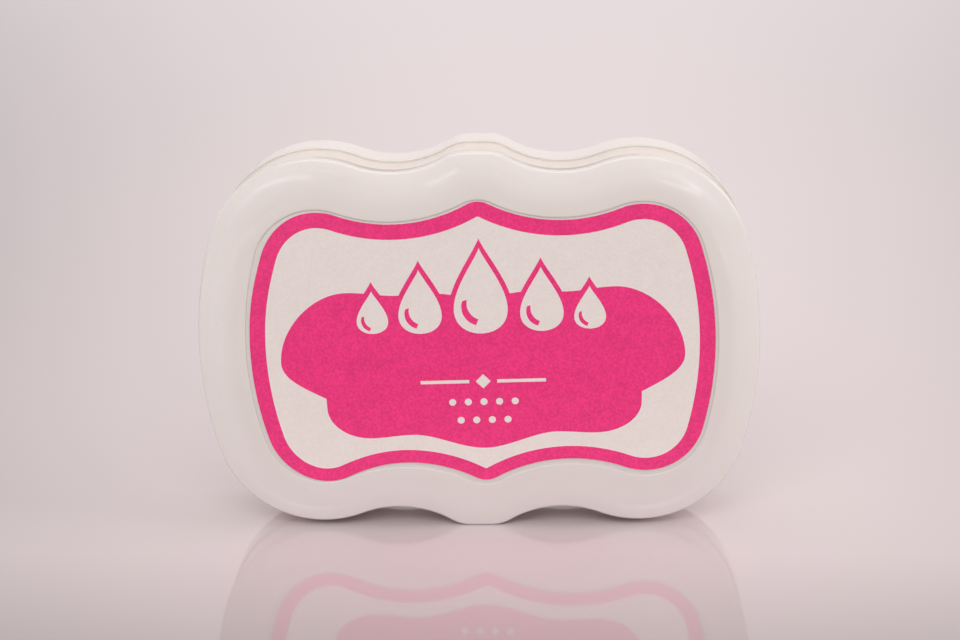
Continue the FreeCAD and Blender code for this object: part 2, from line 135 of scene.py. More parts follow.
# pad, and the bezel round it, whose ring lies between two insets
PAD_INSET = 11.6
PAD_APEX = 4.5
PAD_TOP = 15.4
CLOTH = 0.45
HEM_DEPTH = 4.25
PLATE_TOP = 4.75
BEZEL = (3.45, 11.4)
BEZEL_DEPTHS = (9.87, 11.27)
COLLAR_INSET = 10.5
COLLAR_FOOT = 4.5

# cloth simulation of the pad's cover
COVER_SPACING = 0.9
SIM_SCALE = 10
SIM_FRAMES = 24
SIM_PRESSURE = 0.06
SIM_RISE = 0.5
SIM_SINK = 0.05
SIM_HELD_BELOW = 1.2
SIM_FADES_BELOW = 1.6
SLACK_PER_METRE = 90


# ---------------------------------------------------------------- outlines

def on_circle(centre, radius, angles):
    return np.stack([centre[0] + radius * np.cos(angles), centre[1] + radius * np.sin(angles)], 1)


def arc(centre, radius, start, finish, steps):
    """Points along an arc, without its last one."""
    return on_circle(centre, radius, np.linspace(start, finish, steps, endpoint=False))


def quarter(inset, flat, crest_radius):
    """The outline from its right-hand end to the middle of its top."""
    valley_radius = VALLEY_RADIUS + inset
    lobe_radius = LOBE_RADIUS - inset
    drop = math.sqrt((valley_radius + lobe_radius) ** 2 - (LOBE_ACROSS - VALLEY[0]) ** 2)
    lobe = (LOBE_ACROSS, VALLEY[1] - drop)
    room = HALF_LENGTH - inset - lobe_radius - lobe[0]
    end_radius = lobe_radius + (room**2 + lobe[1] ** 2) / (2 * room)
    end = (HALF_LENGTH - inset - end_radius, 0.0)
    crest = (flat, VALLEY[1] - math.sqrt((valley_radius + crest_radius) ** 2 - (VALLEY[0] - flat) ** 2))
    to_lobe = math.atan2(lobe[1], lobe[0] - end[0])
    to_valley = math.atan2(drop, VALLEY[0] - lobe[0])
    to_crest = math.atan2(crest[1] - VALLEY[1], crest[0] - VALLEY[0])
    turn = math.pi / 2 - (to_crest + math.pi)
    run = crest_radius * turn
    along = np.linspace(0, run + flat, STEPS["crest"] + 1)
    bent = np.minimum(along, run) / crest_radius + to_crest + math.pi
    top = np.stack([crest[0] + crest_radius * np.cos(bent) - np.maximum(along - run, 0),
                    crest[1] + crest_radius * np.sin(bent)], 1)
    return np.concatenate([
        arc(end, end_radius, 0, to_lobe, STEPS["end"]),
        arc(lobe, lobe_radius, to_lobe, to_valley, STEPS["lobe"]),
        arc(VALLEY, valley_radius, to_valley - math.pi, to_crest, STEPS["valley"]),
        top,
    ])


def smooth_step(value, low, high):
    t = np.clip((value - low) / (high - low), 0, 1)
    return t * t * (3 - 2 * t)


def outline(inset, apex=None):
    """The closed outline at an inset, counter-clockwise from its right-hand end.

    Near the silhouette the crests are flat with two shoulders. Further in, one arc rounds them, with
    apex as its radius where that is given."""
    first = quarter(inset, 0.0, apex or max(CREST_ROUND - inset, PAD_APEX))
    flatness = 0 if apex else 1 - smooth_step(inset, *FLAT_FADES)
    if flatness > 0:
        below = VALLEY[1] - HALF_HEIGHT + inset
        valley_radius = VALLEY_RADIUS + inset
        across = VALLEY[0] - CREST_FLAT
        shoulder = (across**2 + below**2 - valley_radius**2) / (2 * (valley_radius - below))
        first = first + flatness * (quarter(inset, CREST_FLAT, shoulder) - first)
    second = first[-2::-1] * (-1, 1)
    third = -first[1:]
    fourth = first[-2:0:-1] * (1, -1)
    return np.concatenate([first, second, third, fourth])


def rounded(corners):
    """A profile through (inset, depth, radius) corners, with an arc at each corner that has a radius."""
    points = []
    for i, (inset, depth, radius) in enumerate(corners):
        here = np.array([inset, depth], float)
        if radius == 0 or i in (0, len(corners) - 1):
            points.append(here)
            continue
        before = np.array(corners[i - 1][:2], float) - here
        after = np.array(corners[i + 1][:2], float) - here
        before /= np.linalg.norm(before)
        after /= np.linalg.norm(after)
        half = math.acos(np.clip(before @ after, -1, 1)) / 2
        middle = here + (before + after) / np.linalg.norm(before + after) * radius / math.sin(half)
        reach = radius / math.tan(half)
        start = here + before * reach - middle
        finish = here + after * reach - middle
        turn = math.pi - 2 * half
        steps = max(2, math.ceil(math.degrees(turn) / 12))
        for k in range(steps + 1):
            share = k / steps
            points.append(middle + (math.sin((1 - share) * turn) * start + math.sin(share * turn) * finish)
                          / math.sin(turn))
    return points


# ---------------------------------------------------------------- meshes

def place(points, depth):
    """Points (across, up) at a depth, in the frame's metres."""
    points = np.asarray(points, float)
    depth = np.broadcast_to(depth, len(points))
    return np.stack([points[:, 0] * MM, UNDERSIDE_Y - depth * MM, points[:, 1] * MM + CENTRE_Z], 1)


def new_object(name, vertices, faces, slots=None, materials=(), smooth=True):
    """A mesh object with outward normals. slots gives each face's material."""
    mesh = bpy.data.meshes.new(name)
    mesh.from_pydata([tuple(v) for v in vertices], [], faces)
    if slots is not None:
        mesh.polygons.foreach_set("material_index", np.asarray(slots, np.int32))
    tidy = bmesh.new()
    tidy.from_mesh(mesh)
    bmesh.ops.recalc_face_normals(tidy, faces=tidy.faces)
    tidy.to_mesh(mesh)
    tidy.free()
    for material in materials:
        mesh.materials.append(material)
    mesh.polygons.foreach_set("use_smooth", [smooth] * len(mesh.polygons))
    thing = bpy.data.objects.new(name, mesh)
    bpy.context.scene.collection.objects.link(thing)
    return thing


def even_normals(thing):
    """Keeps flat faces flat next to their roundings."""
    modifier = thing.modifiers.new("even_normals", "WEIGHTED_NORMAL")
    modifier.keep_sharp = True
    modifier.weight = 80


def inside(points, polygon):
    """Which points lie inside a closed polygon."""
    points = np.atleast_2d(points)
    following = np.roll(polygon, -1, 0)
    x, y = points[:, 0][:, None], points[:, 1][:, None]
    crosses = (polygon[:, 1] > y) != (following[:, 1] > y)
    rise = np.where(following[:, 1] == polygon[:, 1], 1e-12, following[:, 1] - polygon[:, 1])
    at = polygon[:, 0] + (y - polygon[:, 1]) * (following[:, 0] - polygon[:, 0]) / rise
    return (crosses & (x < at)).sum(1) % 2 == 1


def distance_to(points, polygon):
    """Distance from each point to the nearest corner of a finely divided polygon."""
    return np.sqrt(((points[:, None] - polygon[None]) ** 2).sum(2)).min(1)


def ring_faces(rings, count, loop=False):
    """Quads between rings of count points each, and back to the first ring if they loop."""
    faces = []
    for k in range(rings if loop else rings - 1):
        a, b = k * count, (k + 1) % rings * count
        faces += [(a + i, a + (i + 1) % count, b + (i + 1) % count, b + i) for i in range(count)]
    return faces


def sweep(name, profile, loop=False, materials=(), settle=None, marks=None):
    """Carries a profile round the outline. An open profile is closed by a flat face at each end.

    settle(ring, inset, depth) may move a ring within its plane. marks holds a function of
    (ring, inset, depth) for each attribute of the mesh."""
    rings = [outline(inset) for inset, _ in profile]
    if settle:
        rings = [settle(ring, *corner) for ring, corner in zip(rings, profile)]
    count = len(rings[0])
    faces = ring_faces(len(rings), count, loop)
    if not loop:
        faces += [tuple(range(count)), tuple(range((len(rings) - 1) * count, len(rings) * count))]
    vertices = np.concatenate([place(ring, depth) for ring, (_, depth) in zip(rings, profile)])
    thing = new_object(name, vertices, faces, materials=materials)
    for attribute, amount in (marks or {}).items():
        values = [amount(ring, *corner) for ring, corner in zip(rings, profile)]
        values = np.concatenate(values).astype(np.float32)
        thing.data.attributes.new(attribute, "FLOAT", "POINT").data.foreach_set("value", values)
    even_normals(thing)
    return thing


def block(across, up, depth):
    """Corners and faces of a box, from three (low, high) pairs."""
    corners = [place([(across[i], up[j])], depth[k])[0] for i in (0, 1) for j in (0, 1) for k in (0, 1)]
    faces = [(0, 1, 3, 2), (4, 6, 7, 5), (0, 4, 5, 1), (2, 3, 7, 6), (0, 2, 6, 4), (1, 5, 7, 3)]
    return corners, faces


def join_blocks(thing, blocks):
    """Melts boxes into a shell."""
    vertices, faces = [], []
    for corners, sides in blocks:
        faces += [tuple(len(vertices) + i for i in side) for side in sides]
        vertices += corners
    extra = new_object("blocks", vertices, faces, smooth=False)
    union = thing.modifiers.new("union", "BOOLEAN")
    union.operation = "UNION"
    union.solver = "EXACT"
    union.object = extra
    thing.modifiers.move(len(thing.modifiers) - 1, 0)
    bpy.context.view_layer.update()
    graph = bpy.context.evaluated_depsgraph_get()
    normals = thing.modifiers["even_normals"]
    normals.show_viewport = False
    joined = bpy.data.meshes.new_from_object(thing.evaluated_get(graph))
    thing.modifiers.remove(union)
    thing.data = joined
    normals.show_viewport = True
    bpy.data.objects.remove(extra)


def keep(thing, body, material_slot, *nodes):
    """Puts a finished piece on its body, in place of its CAD nodes."""
    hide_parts(*nodes)
    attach(thing, body)
    return thing


# ---------------------------------------------------------------- materials

def linear(red, green, blue):
    """A colour given as 0-255 display values."""
    def one(value):
        value /= 255
        return value / 12.92 if value <= 0.04045 else ((value + 0.055) / 1.055) ** 2.4
    return one(red), one(green), one(blue), 1.0


class Finish:
    """A node material. An input may be a plain value or another node's output."""

    def __init__(self, name):
        self.material = bpy.data.materials.new(name)
        self.material.use_nodes = True
        self.tree = self.material.node_tree
        self.shader = self.tree.nodes["Principled BSDF"]
        self.where = self.node("ShaderNodeTexCoord").outputs["Object"]

    def fill(self, node, values):
        for key, value in values.items():
            if isinstance(value, bpy.types.NodeSocket):
                self.tree.links.new(value, node.inputs[key])
            else:
                node.inputs[key].default_value = value
        return node

    def node(self, kind, values=None, **settings):
        made = self.tree.nodes.new(kind)
        for key, value in settings.items():
            setattr(made, key, value)
        return self.fill(made, values or {})

    def noise(self, size_mm, detail=3.0, stretch=(1, 1, 1)):
        """Noise with features of about size_mm."""
        where = self.where
        if stretch != (1, 1, 1):
            where = self.node("ShaderNodeMapping", {"Vector": where, "Scale": stretch}).outputs[0]
        values = {"Vector": where, "Scale": 1 / (size_mm * MM), "Detail": detail}
        return self.node("ShaderNodeTexNoise", values).outputs["Fac"]

    def span(self, value, low, high, to_low=0.0, to_high=1.0):
        """Maps low..high to to_low..to_high, and holds it there outside."""
        values = {"Value": value, "From Min": low, "From Max": high, "To Min": to_low, "To Max": to_high}
        return self.node("ShaderNodeMapRange", values).outputs[0]

    def cells(self, size_mm):
        """Distance from the middle of each cell of about size_mm."""
        values = {"Vector": self.where, "Scale": 1 / (size_mm * MM)}
        return self.node("ShaderNodeTexVoronoi", values).outputs["Distance"]

    def sum(self, one, other):
        return self.node("ShaderNodeMath", {0: one, 1: other}, operation="ADD").outputs[0]

    def times(self, one, other):
        return self.node("ShaderNodeMath", {0: one, 1: other}, operation="MULTIPLY").outputs[0]

    def sine(self, value):
        return self.node("ShaderNodeMath", {0: value}, operation="SINE").outputs[0]

    def mix(self, amount, one, other, blend="MIX"):
        node = self.node("ShaderNodeMix", {0: amount, 6: one, 7: other}, data_type="RGBA", blend_type=blend)
        return node.outputs[2]

    def bump(self, height, depth_mm, strength=1.0, under=None):
        values = {"Height": height, "Distance": depth_mm * MM, "Strength": strength}
        if under:
            values["Normal"] = under
        return self.node("ShaderNodeBump", values).outputs[0]

    def attribute(self, name):
        return self.node("ShaderNodeAttribute", attribute_name=name).outputs["Fac"]

    def done(self, **values):
        self.fill(self.shader, {key.replace("_", " "): value for key, value in values.items()})
        return self.material


def moulded_plastic(name, light, dark, gloss, coat):
    """Moulded plastic: faint flow clouds, a few specks and a slight orange peel, with painted light and
    shade from the mesh's marks.
    """
    f = Finish(name)
    clouds = f.span(f.noise(22, 2.0), 0.2, 0.8)
    specks = f.span(f.noise(0.4, 1.0), 0.72, 0.8)
    colour = f.mix(clouds, light, dark)
    # painted shade, a little warm, on the lid's skirt and the base's outer wall
    colour = f.mix(f.attribute("band_shade"), colour, linear(247, 239, 230), "MULTIPLY")
    # painted light on the rim, with a painted highlight along its crease
    colour = f.mix(f.attribute("rim_light"), colour, linear(253, 251, 249))
    # painted shade on the lower half of the lid's front
    colour = f.mix(f.attribute("shade"), colour, linear(243, 242, 245), "MULTIPLY")
    colour = f.mix(f.times(specks, 0.12), colour, linear(150, 128, 120))
    # painted shade in the seam behind the brim and round the label
    colour = f.mix(f.times(f.attribute("seam_shade"), 0.75), colour, linear(150, 122, 112))
    roughness = f.span(f.noise(6, 2.0), 0.2, 0.8, gloss * 0.92, gloss * 1.06)
    peel = f.bump(f.noise(1.3, 1.0), 0.002, 0.4)
    waves = f.bump(f.noise(14, 1.0), 0.02, 0.3, peel)
    return f.done(Base_Color=colour, Roughness=roughness, Normal=waves, IOR=1.5, Coat_Weight=coat,
                  Coat_Roughness=0.05, Coat_Normal=waves, Subsurface_Weight=0.3,
                  Subsurface_Radius=(1.0, 0.8, 0.75), Subsurface_Scale=0.0025)


def printed_paper(name, ink, grain, gloss):
    """A printed sticker: dense ink with a fine grain, under a thin satin film."""
    f = Finish(name)
    dark = tuple(c * (1 - grain * 2) for c in ink[:3]) + (1,)
    bright = tuple(min(1, c * (1 + grain * 1.2) + grain * 0.06) for c in ink[:3]) + (1,)
    fine = f.span(f.noise(0.42, 2.0), 0.36, 0.64)
    patchy = f.span(f.noise(3.2, 3.0), 0.35, 0.65)
    colour = f.mix(f.sum(f.times(fine, 0.7), f.times(patchy, 0.3)), dark, bright)
    fibres = f.noise(0.5, 3.0, stretch=(1, 1, 0.3))
    roughness = f.span(f.noise(1.5, 3.0), 0.3, 0.7, gloss * 0.9, gloss * 1.15)
    wavy = f.bump(f.noise(14, 1.0), 0.06, 0.3)
    normal = f.bump(fibres, 0.004, 0.4, wavy)
    return f.done(Base_Color=colour, Roughness=roughness, Normal=normal, IOR=1.48,
                  Coat_Weight=0.25, Coat_Roughness=0.18, Coat_Normal=wavy)


def inked_cloth():
    """Fine plain-woven cloth, soaked with dye ink: two sets of threads, damp sheen, uneven ink."""
    f = Finish("ink_cloth")
    parts = f.node("ShaderNodeSeparateXYZ", {0: f.where})
    pitch = 2 * math.pi / (0.36 * MM)
    warp = f.times(parts.outputs["X"], pitch)
    weft = f.times(parts.outputs["Z"], pitch)
    across = f.times(f.sine(f.times(warp, 0.5)), f.sine(weft))
    along = f.times(f.sine(warp), f.sine(f.times(weft, 0.5)))
    weave = f.sum(f.sum(across, along), f.times(f.noise(0.16, 2.0), 0.9))
    pooled = f.span(f.noise(9, 4.0), 0.35, 0.65)
    colour = f.mix(pooled, linear(232, 44, 116), linear(196, 18, 84))
    colour = f.mix(f.span(weave, -1.2, 1.6, 0.55, 0.0), colour, linear(120, 4, 46))
    roughness = f.span(pooled, 0, 1, 0.62, 0.42)
    normal = f.bump(weave, 0.06, 0.7)
    return f.done(Base_Color=colour, Roughness=roughness, Normal=normal, Sheen_Weight=0.35,
                  Sheen_Roughness=0.4, Sheen_Tint=linear(255, 150, 190), Specular_IOR_Level=0.45)


def open_foam():
    """Open-cell foam full of ink."""
    f = Finish("ink_foam")
    cells = f.cells(0.7)
    colour = f.mix(f.span(cells, 0.1, 0.7), linear(96, 4, 40), linear(214, 40, 106))
    return f.done(Base_Color=colour, Roughness=0.7, Normal=f.bump(cells, 0.2, 0.8))


def adhesive_tape():
    """Double-sided foam tape: creamy, with a faint mesh of cells."""
    f = Finish("adhesive_tape")
    cells = f.cells(0.4)
    colour = f.mix(f.span(cells, 0.1, 0.7), linear(226, 218, 196), linear(240, 234, 216))
    return f.done(Base_Color=colour, Roughness=f.span(f.noise(2), 0.3, 0.7, 0.5, 0.7),
                  Normal=f.bump(cells, 0.05, 0.5))


# ---------------------------------------------------------------- artwork

def bezier(points, steps=14):
    """A smooth curve through (start, handle, handle, end), without its end."""
    a, b, c, d = (np.array(p, float) for p in points)
    t = np.linspace(0, 1, steps, endpoint=False)[:, None]
    return a * (1 - t) ** 3 + 3 * b * t * (1 - t) ** 2 + 3 * c * t**2 * (1 - t) + d * t**3


def banner():
    """The pink banner: two shoulders, a notch low on each side, and a rounded point at the bottom."""
    dip, low_crest, valley, crest = (0, 8.0), (8, 9.0), (14.5, 8.8), (23, 9.5)
    side, notch, tuck = (34.7, -2.75), (27.2, -9.4), (27.15, -11.2)
    lobe, rise, point = (19.3, -16.7), (12.5, -16.35), (0, -19.05)
    half = np.concatenate([
        bezier([dip, (2.7, 8.0), (5.0, 9.0), low_crest]),
        bezier([low_crest, (10.2, 9.0), (12.3, 8.8), valley]),
        bezier([valley, (17.3, 8.8), (19.8, 9.5), crest]),
        bezier([crest, (28.9, 9.5), (34.7, 3.4), side], 24),
        bezier([side, (34.7, -5.75), (30.9, -7.45), notch]),
        bezier([notch, (27.2, -10), (27.15, -10.6), tuck], 3),
        bezier([tuck, (27.15, -14.2), (23.6, -16.7), lobe]),
        bezier([lobe, (17, -16.7), (14.8, -16.35), rise]),
        bezier([rise, (8.5, -16.35), (4.2, -19.05), point]),
    ])
    return np.concatenate([half, [point], half[:0:-1] * (-1, 1)])


def drop(across, foot, height, width):
    """An ink drop standing on its round end."""
    t = np.linspace(0, 2 * math.pi, 64, endpoint=False)
    x = np.sin(t) * np.abs(np.sin(t / 2)) ** 1.5
    return np.stack([across + x / np.abs(x).max() * width / 2, foot + height * (1 + np.cos(t)) / 2], 1)


def regular(centre, radius, sides):
    """A regular polygon, which is a disc where it has many sides."""
    return arc(centre, radius, 0, 2 * math.pi, sides)


def glint(across, foot, height, width):
    """A crescent low on the left of a drop."""
    t = np.linspace(math.radians(160), math.radians(255), 16)
    centre = (across, foot + height * 0.31)
    outer = on_circle(centre, width * 0.36, t)
    inner = on_circle((centre[0] + width * 0.07, centre[1] + width * 0.07), width * 0.33, t[::-1])
    return np.concatenate([outer, inner[1:-1]])


def bar(centre, across, up):
    return np.array(centre) + np.array([(-across, -up), (across, -up), (across, up), (-across, up)])


def sheet(name, layers, depth, materials, settle=None, spacing=1.6):
    """A thin printed sheet. layers are (outline, material index), each printed over the ones before it, and
    settle(points) may move the sheet's points in its plane."""
    flat, faces = fill([curve for curve, _ in layers], spacing)
    middles = np.array([flat[list(face)].mean(0) for face in faces])
    printed = np.zeros(len(faces), int)
    for curve, index in layers:
        printed[inside(middles, curve)] = index
    if settle:
        flat = settle(flat)
    return thick_sheet(name, flat, faces, printed, depth, materials)


def fill(curves, spacing):
    """Near-equilateral triangles inside the first closed curve, with the other curves as edges."""
    boundary = curves[0]
    everything = np.concatenate(curves)
    low, high = boundary.min(0), boundary.max(0)
    columns, rows = int((high[0] - low[0]) / spacing), int((high[1] - low[1]) / (spacing * ROW_HEIGHT))
    grid = np.array([(low[0] + (i + 0.5 * (j % 2)) * spacing, low[1] + j * spacing * ROW_HEIGHT)
                     for j in range(rows + 1) for i in range(columns + 1)])
    grid = grid[inside(grid, boundary)]
    grid = grid[distance_to(grid, everything) > spacing * CLEAR_OF_EDGES]
    edges, count = [], 0
    for curve in curves:
        edges += [(count + i, count + (i + 1) % len(curve)) for i in range(len(curve))]
        count += len(curve)
    points = [Vector(p) for p in np.concatenate([everything, grid])]
    made, _, triangles, *_ = delaunay_2d_cdt(points, edges, [], 1, 1e-5)
    return np.array([tuple(p) for p in made]), [tuple(t) for t in triangles]


def thick_sheet(name, flat, faces, printed, depth, materials):
    """Gives a flat triangulated sheet its thickness. depth is that of its printed side and of its back."""
    count = len(flat)
    seen = {}
    for face in faces:
        for a, b in zip(face, face[1:] + face[:1]):
            seen[frozenset((a, b))] = seen.get(frozenset((a, b)), 0) + 1
    rim = [tuple(edge) for edge, uses in seen.items() if uses == 1]
    sides = [(a, b, b + count, a + count) for a, b in rim]
    back = [tuple(i + count for i in reversed(face)) for face in faces]
    slots = list(printed) + [0] * (len(back) + len(sides))
    vertices = np.concatenate([place(flat, depth[0]), place(flat, depth[1])])
    return new_object(name, vertices, list(faces) + back + sides, slots, materials, smooth=False)


# ---------------------------------------------------------------- pieces

def crown_depth(inset):
    """The lid's front rises from the crease with an even slope, which then fades out to level."""
    first, last = CROWN_BENDS
    fading = min(last - inset, last - first)
    return CASE_DEPTH - CROWN_SLOPE * (fading**2 / (2 * (last - first)) + max(0, first - inset))


def seated(points, shift):
    """Where the points of the label, or of its recess, lie on the lid: stretched, turned and shifted."""
    cosine, sine = math.cos(LABEL_SKEW), math.sin(LABEL_SKEW)
    return points * (LABEL_STRETCH, 1) @ np.array([[cosine, sine], [-sine, cosine]]) + shift


def settle_recess(ring, inset, depth):
    """The recess lies as the label does, and the crown round it evens that out."""
    share = smooth_step(inset, CREASE[0], CROWN_BENDS[1]) if depth > CREASE[1] - 0.1 else 0
    return ring + share * (seated(ring, RECESS_SHIFT) - ring)


def lid_seam_shade(ring, inset, depth):
    """Painted shade on the skirt close to the brim, most of all in the outline's valleys, and a little
    round the label's recess.
    """
    valley = np.clip((HALF_HEIGHT - np.abs(ring[:, 1])) / 3.6, 0, 1) * (np.abs(ring[:, 0]) < LOBE_ACROSS)
    close = inset < 1 and NECK[1] - 1.3 < depth < BRIM_BACK + 0.02
    round_label = inset > RECESS_INSET - 0.2 and depth > CASE_DEPTH - 0.6
    return close * (0.08 + 0.92 * valley) + 0.02 * round_label


def skirt(ring, inset, depth):
    """Painted shade: the lid's skirt is a little darker and warmer than the rest, most of all along its top
    and bottom.
    """
    return (0.5 + 0.5 * np.abs(ring[:, 1]) / HALF_HEIGHT) * (inset < 1 and PARTING < depth < BRIM_BACK)


def outer_wall(ring, inset, depth):
    """Painted shade: the base's outer wall is a little darker and warmer too."""
    return np.full(len(ring), 0.3 * (inset < 1 and depth > 1))


def rim_painted_light(ring, inset, depth):
    """Painted light: the translucent rim is painted a little paler than the middle, most of all at the two
    ends, and a painted highlight runs along its crease on the outer half of each lobe."""
    amount = (0.3 - 0.06 * ring[:, 0] / HALF_LENGTH) * (1 - 0.7 * (ring[:, 1] / HALF_HEIGHT) ** 2)
    corner = np.where(ring[:, 1] > 0, 36, 31)
    along, inwards = (np.abs(ring[:, 0]) - corner) / 6, (inset - CREASE[0] - 0.2) / 0.45
    crease_highlight = 0.4 * np.exp(-(along**2) - inwards**2)
    return (amount * (1 - smooth_step(inset, *CROWN_BENDS)) + crease_highlight) * (depth > BRIM_BACK)


def low_shade(ring, inset, depth):
    """Painted shade: the lower half of the lid's front is a little darker."""
    return np.clip(-ring[:, 1] / HALF_HEIGHT, 0, 1) * (depth > BRIM_BACK)


def make_lid(plastic):
    """The lid: rounded brim, crowned front with the label's recess, skirt, and the seal rib inside."""
    floor = CASE_DEPTH - RECESS_DEPTH
    crown = [(inset, crown_depth(inset), 0) for inset in np.linspace(7.2, 2.7, 16)]
    neck, neck_depth = NECK
    rib_outside, rib_inside = SEAL_RIB
    profile = rounded([
        (RECESS_INSET + RECESS_MARGIN, floor, 0), (RECESS_INSET, floor, 0.15),
        (RECESS_INSET, CASE_DEPTH, 0.28), *crown, (*CREASE, 5), (0, BRIM_CORNER, 0.6), (0, BRIM_BACK, 0.2),
        (neck, BRIM_BACK, 0.1), (neck, neck_depth, 0.2), (SKIRT_INSET, neck_depth, 0.15),
        (SKIRT_INSET, neck_depth - 1.2, 0), (SKIRT_INSET, neck_depth - 1.8, 0),
        (SKIRT_INSET, PARTING + SEAM, 0.12), (SKIRT_INSIDE, PARTING + SEAM, 0.2),
        (SKIRT_INSIDE, CEILING, 0.5), (rib_outside, CEILING, 0.3), (rib_outside, SEAL_RIB_FOOT, 0.35),
        (rib_inside, SEAL_RIB_FOOT, 0.35), (rib_inside, MIDDLE_CEILING, 0),
    ])
    # the marks paint shade in the seam, shade on the skirt, light on the rim and shade low on the front
    lid = sweep("lid", profile, materials=[plastic], settle=settle_recess,
                marks={"seam_shade": lid_seam_shade, "band_shade": skirt, "rim_light": rim_painted_light, "shade": low_shade})
    return keep(lid, "lid", "case_plastic", "lid_shell")


def make_base(plastic):
    """The base: outer wall, lip, floor, the well for the backing plate, ribs, nubs and beads."""
    well_wall, well_inside = WELL
    profile = rounded([
        (RECESS_INSET + RECESS_MARGIN, BACK_RECESS_DEPTH, 0), (RECESS_INSET, BACK_RECESS_DEPTH, 0.15),
        (RECESS_INSET, 0, 0.25), (0, 0, 1.5), (0, PARTING, 0.15), (LIP_INSET, PARTING, 0.1),
        (LIP_INSET, LIP_TOP, 0.3), (WALL_INSET, LIP_TOP, 0.3), (WALL_INSET, FLOOR_TOP, 0.8),
        (well_wall, FLOOR_TOP, 0.1), (well_wall, WELL_TOP, 0.2), (well_inside, WELL_TOP, 0.2),
        (well_inside, FLOOR_TOP, 0),
    ])
    # the mark paints shade on the outer wall
    base = sweep("case_base", profile, materials=[plastic], marks={"band_shade": outer_wall})
    wall = HALF_LENGTH - WALL_INSET
    rim = HALF_HEIGHT - WALL_INSET
    lip = HALF_LENGTH - LIP_INSET
    lobe_top = max(p[1] for p in outline(WALL_INSET) if abs(p[0] - LOBE_ACROSS) < 0.6)
    rib_depths = (FLOOR_TOP - 0.3, RIB_TOP)
    blocks = []
    for side in (-1, 1):
        for up in END_RIBS:
            end = wall - up * up / (2 * END_RADIUS)
            reach = sorted((side * (end - RIB_REACH), side * (end + END_ROOT)))
            blocks.append(block(reach, (up - RIB_HALF, up + RIB_HALF), rib_depths))
        for way in (-1, 1):
            reach = sorted((way * (lobe_top - RIB_REACH), way * (lobe_top + SIDE_ROOT)))
            middle = side * LOBE_ACROSS
            blocks.append(block((middle - RIB_HALF, middle + RIB_HALF), reach, rib_depths))
        nub = sorted((side * (wall - NUB_REACH), side * (wall + END_ROOT)))
        blocks.append(block(nub, (-NUB_HALVES[0], NUB_HALVES[0]), NUB_DEPTHS))
        nub = sorted((side * (rim - NUB_REACH), side * (rim + SIDE_ROOT)))
        blocks.append(block((-NUB_HALVES[1], NUB_HALVES[1]), nub, NUB_DEPTHS))
        bead = sorted((side * (lip - 0.6), side * (lip + BEAD_REACH)))
        blocks.append(block(bead, (-BEAD_HALF, BEAD_HALF), BEAD_DEPTHS))
    join_blocks(base, blocks)
    return keep(base, "base", "case_plastic", "base_shell")


def make_bezel(plastic):
    """The bezel: a flat ring round the pad, and its collar."""
    outer, inner = BEZEL
    back, front = BEZEL_DEPTHS
    profile = rounded([
        (COLLAR_INSET + 0.1, back, 0), (outer, back, 0.1), (outer, front, 0.4), (inner, front, 0.4),
        (inner, COLLAR_FOOT, 0.15), (COLLAR_INSET, COLLAR_FOOT, 0.15), (COLLAR_INSET, back - 0.1, 0),
    ])
    bezel = sweep("bezel", profile, loop=True, materials=[plastic])
    return keep(bezel, "base", "inner_plastic", "pad_bezel")


def stretch_over_pad(cover):
    """Cloth simulation of the pad's cover: the foam presses it out, and its hem and sides are held.

    It runs at SIM_SCALE times the real size, without gravity. Only its movement at the top is kept."""
    mesh = cover.data
    start = np.empty(len(mesh.vertices) * 3)
    mesh.vertices.foreach_get("co", start)
    start = start.reshape(-1, 3)
    depth = (UNDERSIDE_Y - start[:, 1]) / MM
    held = cover.vertex_groups.new(name="held")
    held.add([int(i) for i in np.flatnonzero(depth < PAD_TOP - SIM_HELD_BELOW)], 1.0, "REPLACE")
    shrinking = cover.vertex_groups.new(name="shrinking")
    for i, point in enumerate(start):
        shrinking.add([i], 0.5 + 0.5 * noise.noise(Vector(point) * SLACK_PER_METRE), "REPLACE")
    mesh.vertices.foreach_set("co", (start * SIM_SCALE).ravel())
    mesh.update()
    cloth = cover.modifiers.new("cloth", "CLOTH")
    settings = cloth.settings
    settings.quality = 5
    settings.mass = 0.3
    settings.tension_stiffness = settings.compression_stiffness = 15
    settings.shear_stiffness = 5
    settings.bending_stiffness = 0.5
    settings.vertex_group_mass = "held"
    settings.vertex_group_shrink = "shrinking"
    settings.shrink_min = -0.03
    settings.shrink_max = 0.004
    settings.use_pressure = True
    settings.uniform_pressure_force = SIM_PRESSURE
    settings.effector_weights.gravity = 0
    cloth.collision_settings.use_collision = False
    scene = bpy.context.scene
    for frame_number in range(1, SIM_FRAMES + 1):
        scene.frame_set(frame_number)
    graph = bpy.context.evaluated_depsgraph_get()
    settled = cover.evaluated_get(graph).to_mesh()
    finish = np.empty(len(settled.vertices) * 3)
    settled.vertices.foreach_get("co", finish)
    cover.evaluated_get(graph).to_mesh_clear()
    scene.frame_set(1)
    cover.modifiers.remove(cloth)
    cover.vertex_groups.clear()
    move = finish.reshape(-1, 3) / SIM_SCALE - start
    move[:, 1] = np.minimum(np.tanh(move[:, 1] / (SIM_RISE * MM)) * SIM_RISE, SIM_SINK) * MM
    near_top = np.clip((depth - PAD_TOP + SIM_FADES_BELOW) / SIM_FADES_BELOW, 0, 1)[:, None]
    mesh.vertices.foreach_set("co", (start + move * near_top).ravel())
    mesh.update()


